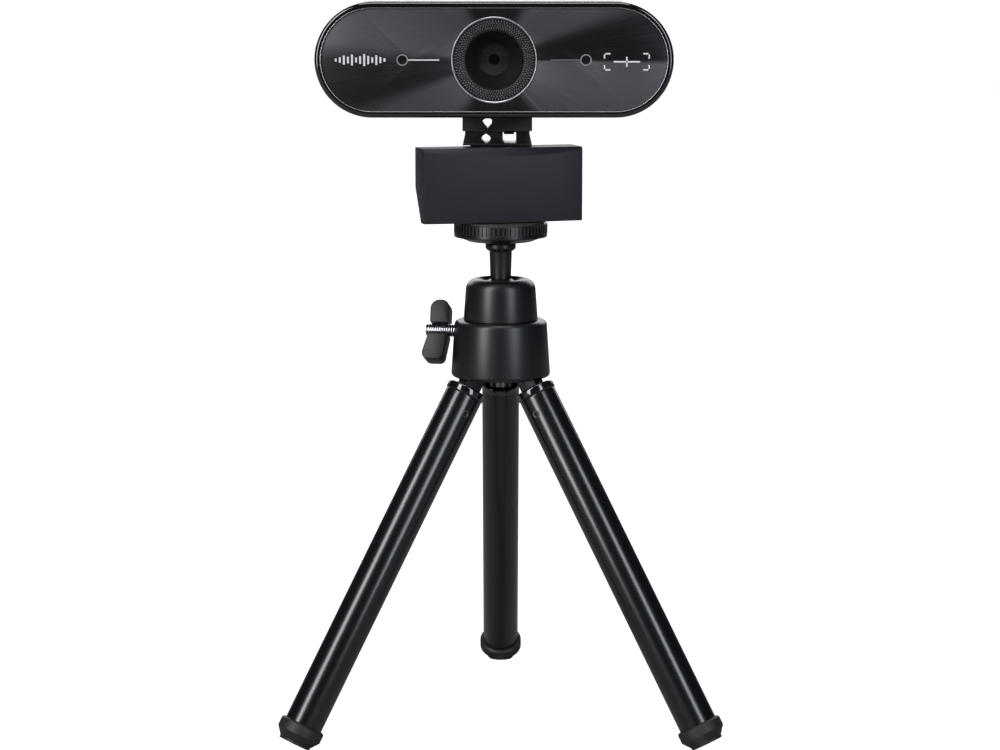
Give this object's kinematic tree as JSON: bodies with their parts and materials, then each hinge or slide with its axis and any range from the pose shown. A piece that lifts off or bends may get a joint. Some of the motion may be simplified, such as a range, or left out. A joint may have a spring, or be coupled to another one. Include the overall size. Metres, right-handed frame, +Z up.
{
  "type": "webcam on tripod",
  "caption": "Wide webcam with rounded ends on a folding monitor clip, standing on a small black three-legged ball-head tripod.",
  "frame": {"origin": "on the surface it stands on, under the middle of the whole object's box", "axes": "+Z up; the webcam looks along -Y; +X is to the right as seen from the front"},
  "size_m": [0.128, 0.1128, 0.2126],
  "materials": {
    "satin_black": "satin moulded",
    "leg_paint": "gloss black lacquer on aluminium tube",
    "dark_steel": "blackened steel",
    "zinc_steel": "zinc plated",
    "bright_steel": "bright nickel plated",
    "bright_ring": "bright plated",
    "soft_rubber": "soft matt",
    "wing_rubber": "soft moulded",
    "stem_paint": "black semi-gloss",
    "wheel_plastic": "ribbed moulded",
    "nylon": "natural nylon",
    "brass": "machined",
    "clip_plastic": "fine textured, bluish",
    "neck_plastic": "moulded",
    "shell_gloss": "piano gloss",
    "shell_satin": "fine textured",
    "face_metal": "radially brushed, dark anodised",
    "grip_black": "diamond knurl",
    "lens_black": "anti-glare",
    "lens_glass": "coated",
    "chip": "die under a cover",
    "board_green": "solder mask",
    "nickel": "nickel can",
    "light_guide": "clear moulded"
  },
  "bodies": {
    "tripod_head": {"housing_collar": "satin_black", "ball_cap": "satin_black", "spider_hub": "satin_black", "leg_pivot_pins": "zinc_steel", "base_screw": "dark_steel"},
    "leg_back": {"leg_lug_back": "satin_black", "leg_ring_back": "satin_black", "leg_tube_back": "leg_paint", "leg_rivet_back": "dark_steel", "leg_foot_back": "soft_rubber"},
    "leg_left": {"leg_lug_left": "satin_black", "leg_ring_left": "satin_black", "leg_tube_left": "leg_paint", "leg_rivet_left": "dark_steel", "leg_foot_left": "soft_rubber"},
    "leg_right": {"leg_lug_right": "satin_black", "leg_ring_right": "satin_black", "leg_tube_right": "leg_paint", "leg_rivet_right": "dark_steel", "leg_foot_right": "soft_rubber"},
    "wing_screw": {"clamp_screw": "bright_steel", "wing_knob": "wing_rubber"},
    "swivel_seat": {"ball_seat": "nylon"},
    "ball_stem": {"ball_stem": "stem_paint", "camera_screw": "zinc_steel"},
    "lock_wheel": {"knurled_wheel": "wheel_plastic", "wheel_pad": "soft_rubber"},
    "clip_leg": {"clip_leg": "clip_plastic", "thread_insert": "brass", "clip_hinge_pin": "zinc_steel"},
    "clip_arm": {"clip_arm": "clip_plastic", "lip_pads": "soft_rubber"},
    "neck": {"neck_base": "neck_plastic", "pan_screw": "zinc_steel", "tilt_pin": "zinc_steel"},
    "webcam": {"neck_yoke": "neck_plastic", "front_shell": "shell_gloss", "rear_shell": "shell_satin", "face_panel": "face_metal", "lens_ring": "bright_ring", "lens_grip_ring": "grip_black", "lens_cone": "lens_black", "lens_window": "lens_glass", "lens_holder": "lens_black", "image_sensor": "chip", "circuit_board": "board_green", "microphones": "nickel", "status_lights": "light_guide", "cable_gland": "shell_satin", "shell_screws": "zinc_steel"},
    "focus_lens": {"lens_barrel": "lens_black", "front_lens": "lens_glass"}
  },
  "joints": [
    {"name": "leg_back_fold", "type": "hinge", "parent": "tripod_head", "child": "leg_back", "pos_m": [0, -0.00833, 0.10609], "axis": [-1, 0, 0], "range_deg": [0, 30.1]},
    {"name": "leg_left_fold", "type": "hinge", "parent": "tripod_head", "child": "leg_left", "pos_m": [-0.00702, -0.02048, 0.10609], "axis": [0.5, -0.866, 0], "range_deg": [0, 30.1]},
    {"name": "leg_right_fold", "type": "hinge", "parent": "tripod_head", "child": "leg_right", "pos_m": [0.00702, -0.02048, 0.10609], "axis": [0.5, 0.866, 0], "range_deg": [0, 30.1]},
    {"name": "clamp_turn", "type": "hinge", "parent": "tripod_head", "child": "wing_screw", "pos_m": [0, -0.01643, 0.11649], "axis": [-0.9781, 0.2079, 0], "continuous": true},
    {"name": "ball_pan", "type": "hinge", "parent": "tripod_head", "child": "swivel_seat", "pos_m": [0, -0.01643, 0.12649], "axis": [0, 0, 1], "continuous": true},
    {"name": "ball_tilt", "type": "hinge", "parent": "swivel_seat", "child": "ball_stem", "pos_m": [0, -0.01643, 0.12649], "axis": [1, 0, 0], "range_deg": [-20, 20]},
    {"name": "wheel_turn", "type": "hinge", "parent": "ball_stem", "child": "lock_wheel", "pos_m": [0, -0.01643, 0.14469], "axis": [0, 0, 1], "continuous": true},
    {"name": "clip_turn", "type": "hinge", "parent": "ball_stem", "child": "clip_leg", "pos_m": [0, -0.01643, 0.14939], "axis": [0, 0, 1], "continuous": true},
    {"name": "clip_open", "type": "hinge", "parent": "clip_leg", "child": "clip_arm", "pos_m": [-0.00588, 0.00477, 0.16599], "axis": [-0.9636, -0.2672, 0], "range_deg": [0, 95]},
    {"name": "head_pan", "type": "hinge", "parent": "clip_arm", "child": "neck", "pos_m": [-0.00099, -0.011, 0.17089], "axis": [0, 0, 1], "continuous": true},
    {"name": "head_tilt", "type": "hinge", "parent": "neck", "child": "webcam", "pos_m": [-0.00099, -0.011, 0.17539], "axis": [1, 0, 0], "range_deg": [-20, 20]},
    {"name": "lens_focus", "type": "slide", "parent": "webcam", "child": "focus_lens", "axis": [0, -1, 0], "range_m": [0, 0.0004]}
  ]
}
